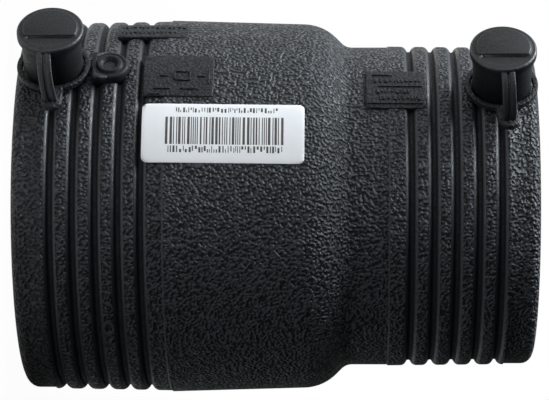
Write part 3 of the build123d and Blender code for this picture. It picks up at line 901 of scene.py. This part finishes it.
for end, side in (("large", -1), ("small", 1)):
    cap_mesh, chord, top = make_cap(end, side)
    length, width, depth = CAP["slot"]
    cutter_shape = bmesh.new()
    cutter_height = 4.0
    cutter_place = chord @ Matrix.Translation(
        ((CAP["chord"] + CAP["slot_gap"] + width / 2) * MM, 0, (top - depth + cutter_height / 2) * MM))
    cutter_size = Matrix.Diagonal((width * MM, length * MM, cutter_height * MM, 1))
    bmesh.ops.create_cube(cutter_shape, size=1.0, matrix=cutter_place @ cutter_size)
    cutter_mesh = bpy.data.meshes.new("slot_cutter")
    cutter_shape.to_mesh(cutter_mesh)
    cutter_shape.free()
    cutter = bpy.data.objects.new("slot_cutter", cutter_mesh)
    blank = bpy.data.objects.new("cap_blank", cap_mesh)
    for item in (cutter, blank):
        bpy.context.scene.collection.objects.link(item)
    cut = blank.modifiers.new("slot", "BOOLEAN")
    cut.object, cut.operation, cut.solver, cut.use_self = cutter, "DIFFERENCE", "EXACT", True
    graph = bpy.context.evaluated_depsgraph_get()
    slotted = bpy.data.meshes.new_from_object(blank.evaluated_get(graph), depsgraph=graph)
    for item in (cutter, blank):
        bpy.data.objects.remove(item)
    cap = piece(end + "_cap", slotted, end + "_cap")
    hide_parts(end + "_terminal_cap")


# ------------------------------------------------------------------ fusion indicator
# A small moulded polyethylene pin, sunk in its boss until melt from the weld pushes it out. It is the
# CAD part's own mesh with a finish.

# plain moulded skin: a little greyer and shinier than the boss round it
indicator_black = black_polyethylene(
    "polyethylene_indicator_pin", ("#131415", "#191b1c"),
    roughness=0.5, grain_mm=0.4, grain_depth_mm=0.01, gloss=0.4)
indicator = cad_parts["fusion_indicator"]
indicator.data.materials.clear()
indicator.data.materials.append(indicator_black)


# ------------------------------------------------------------------ label
# White self-adhesive film with rounded corners, stuck over the barrel and its last groove, and printed
# with bars and two rows of plain ticks.

# semi-gloss film: near white, with a faint unevenness in its shine
film = speckled(
    "label_film_semi_gloss_white", ("#f9fafb", "#f2f3f5"), roughness=(0.34, 0.44), spots_per_mm=0.22,
    detail=4.0, relief=(0.25, 0.03), finish={"IOR": 1.5})
# thermal print: dull dark grey, a little patchy
ink = speckled(
    "thermal_print_dark_grey", ("#3a3838", "#57524f"), roughness=(0.5, 0.62), spots_per_mm=0.9,
    detail=2.0, relief=(0.2, 0.01), finish={"IOR": 1.5})


def label_skin(z):
    """Radius of the label's underside, straight on past the barrel's step."""
    return centre_skin(z) + 0.03


LABEL = {"turn": 23.0, "start": 32.1, "length": 39.8, "width": 15.7, "corner": 1.4, "thickness": 0.10,
         "edge": 0.08, "print_root": 0.02}
label_shape = bmesh.new()
label_middle = LABEL["start"] + LABEL["length"] / 2
wrapped_plate(label_shape, label_skin, LABEL["turn"], label_middle, LABEL["length"], LABEL["width"],
              LABEL["corner"], LABEL["thickness"], LABEL["edge"], root=0.0, pitch=1.0)
label = piece("label_sheet", finished(label_shape, "label_sheet", [film]), "coupler")
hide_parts("label")

PRINT = {"corner": 0.02, "rise": 0.035, "edge": 0.015, "root": 0.0, "pitch": 1.0}
BARS = {"first": 5.8, "last": 34.8, "across": -0.5, "height": 7.3}
chance = random.Random(11)
print_shape = bmesh.new()
printed = over(label_skin, LABEL["thickness"] - LABEL["print_root"])


def print_mark(z, across, height, width):
    """One printed mark, 0.015 mm above the film. across is measured round the barrel from the middle."""
    turn = LABEL["turn"] + math.degrees(across / printed(z))
    wrapped_plate(print_shape, printed, turn, z, height, width, **PRINT)


# one field of upright bars
z = LABEL["start"] + BARS["first"]
while z < LABEL["start"] + BARS["last"]:
    bar = chance.choice((0.25, 0.25, 0.4, 0.6))
    print_mark(z + bar / 2, BARS["across"], bar, BARS["height"])
    z += bar + chance.choice((0.25, 0.25, 0.35, 0.5))
# a row of ticks on each side of the bars: place across, first and last place along, height
for across, first, last, size in ((-6.1, 8.3, 33.2, 1.4), (4.4, 6.5, 34.6, 1.7)):
    z = LABEL["start"] + first
    while z < LABEL["start"] + last:
        tick = chance.choice((0.2, 0.3, 0.5))
        height = size * chance.choice((0.5, 0.8, 1.0))
        print_mark(z + tick / 2, across + (size - height) / 2 * chance.choice((-1, 1)), tick, height)
        z += tick + chance.choice((0.25, 0.35, 0.45))
piece("label_print", finished(print_shape, "label_print", [ink]), "coupler")
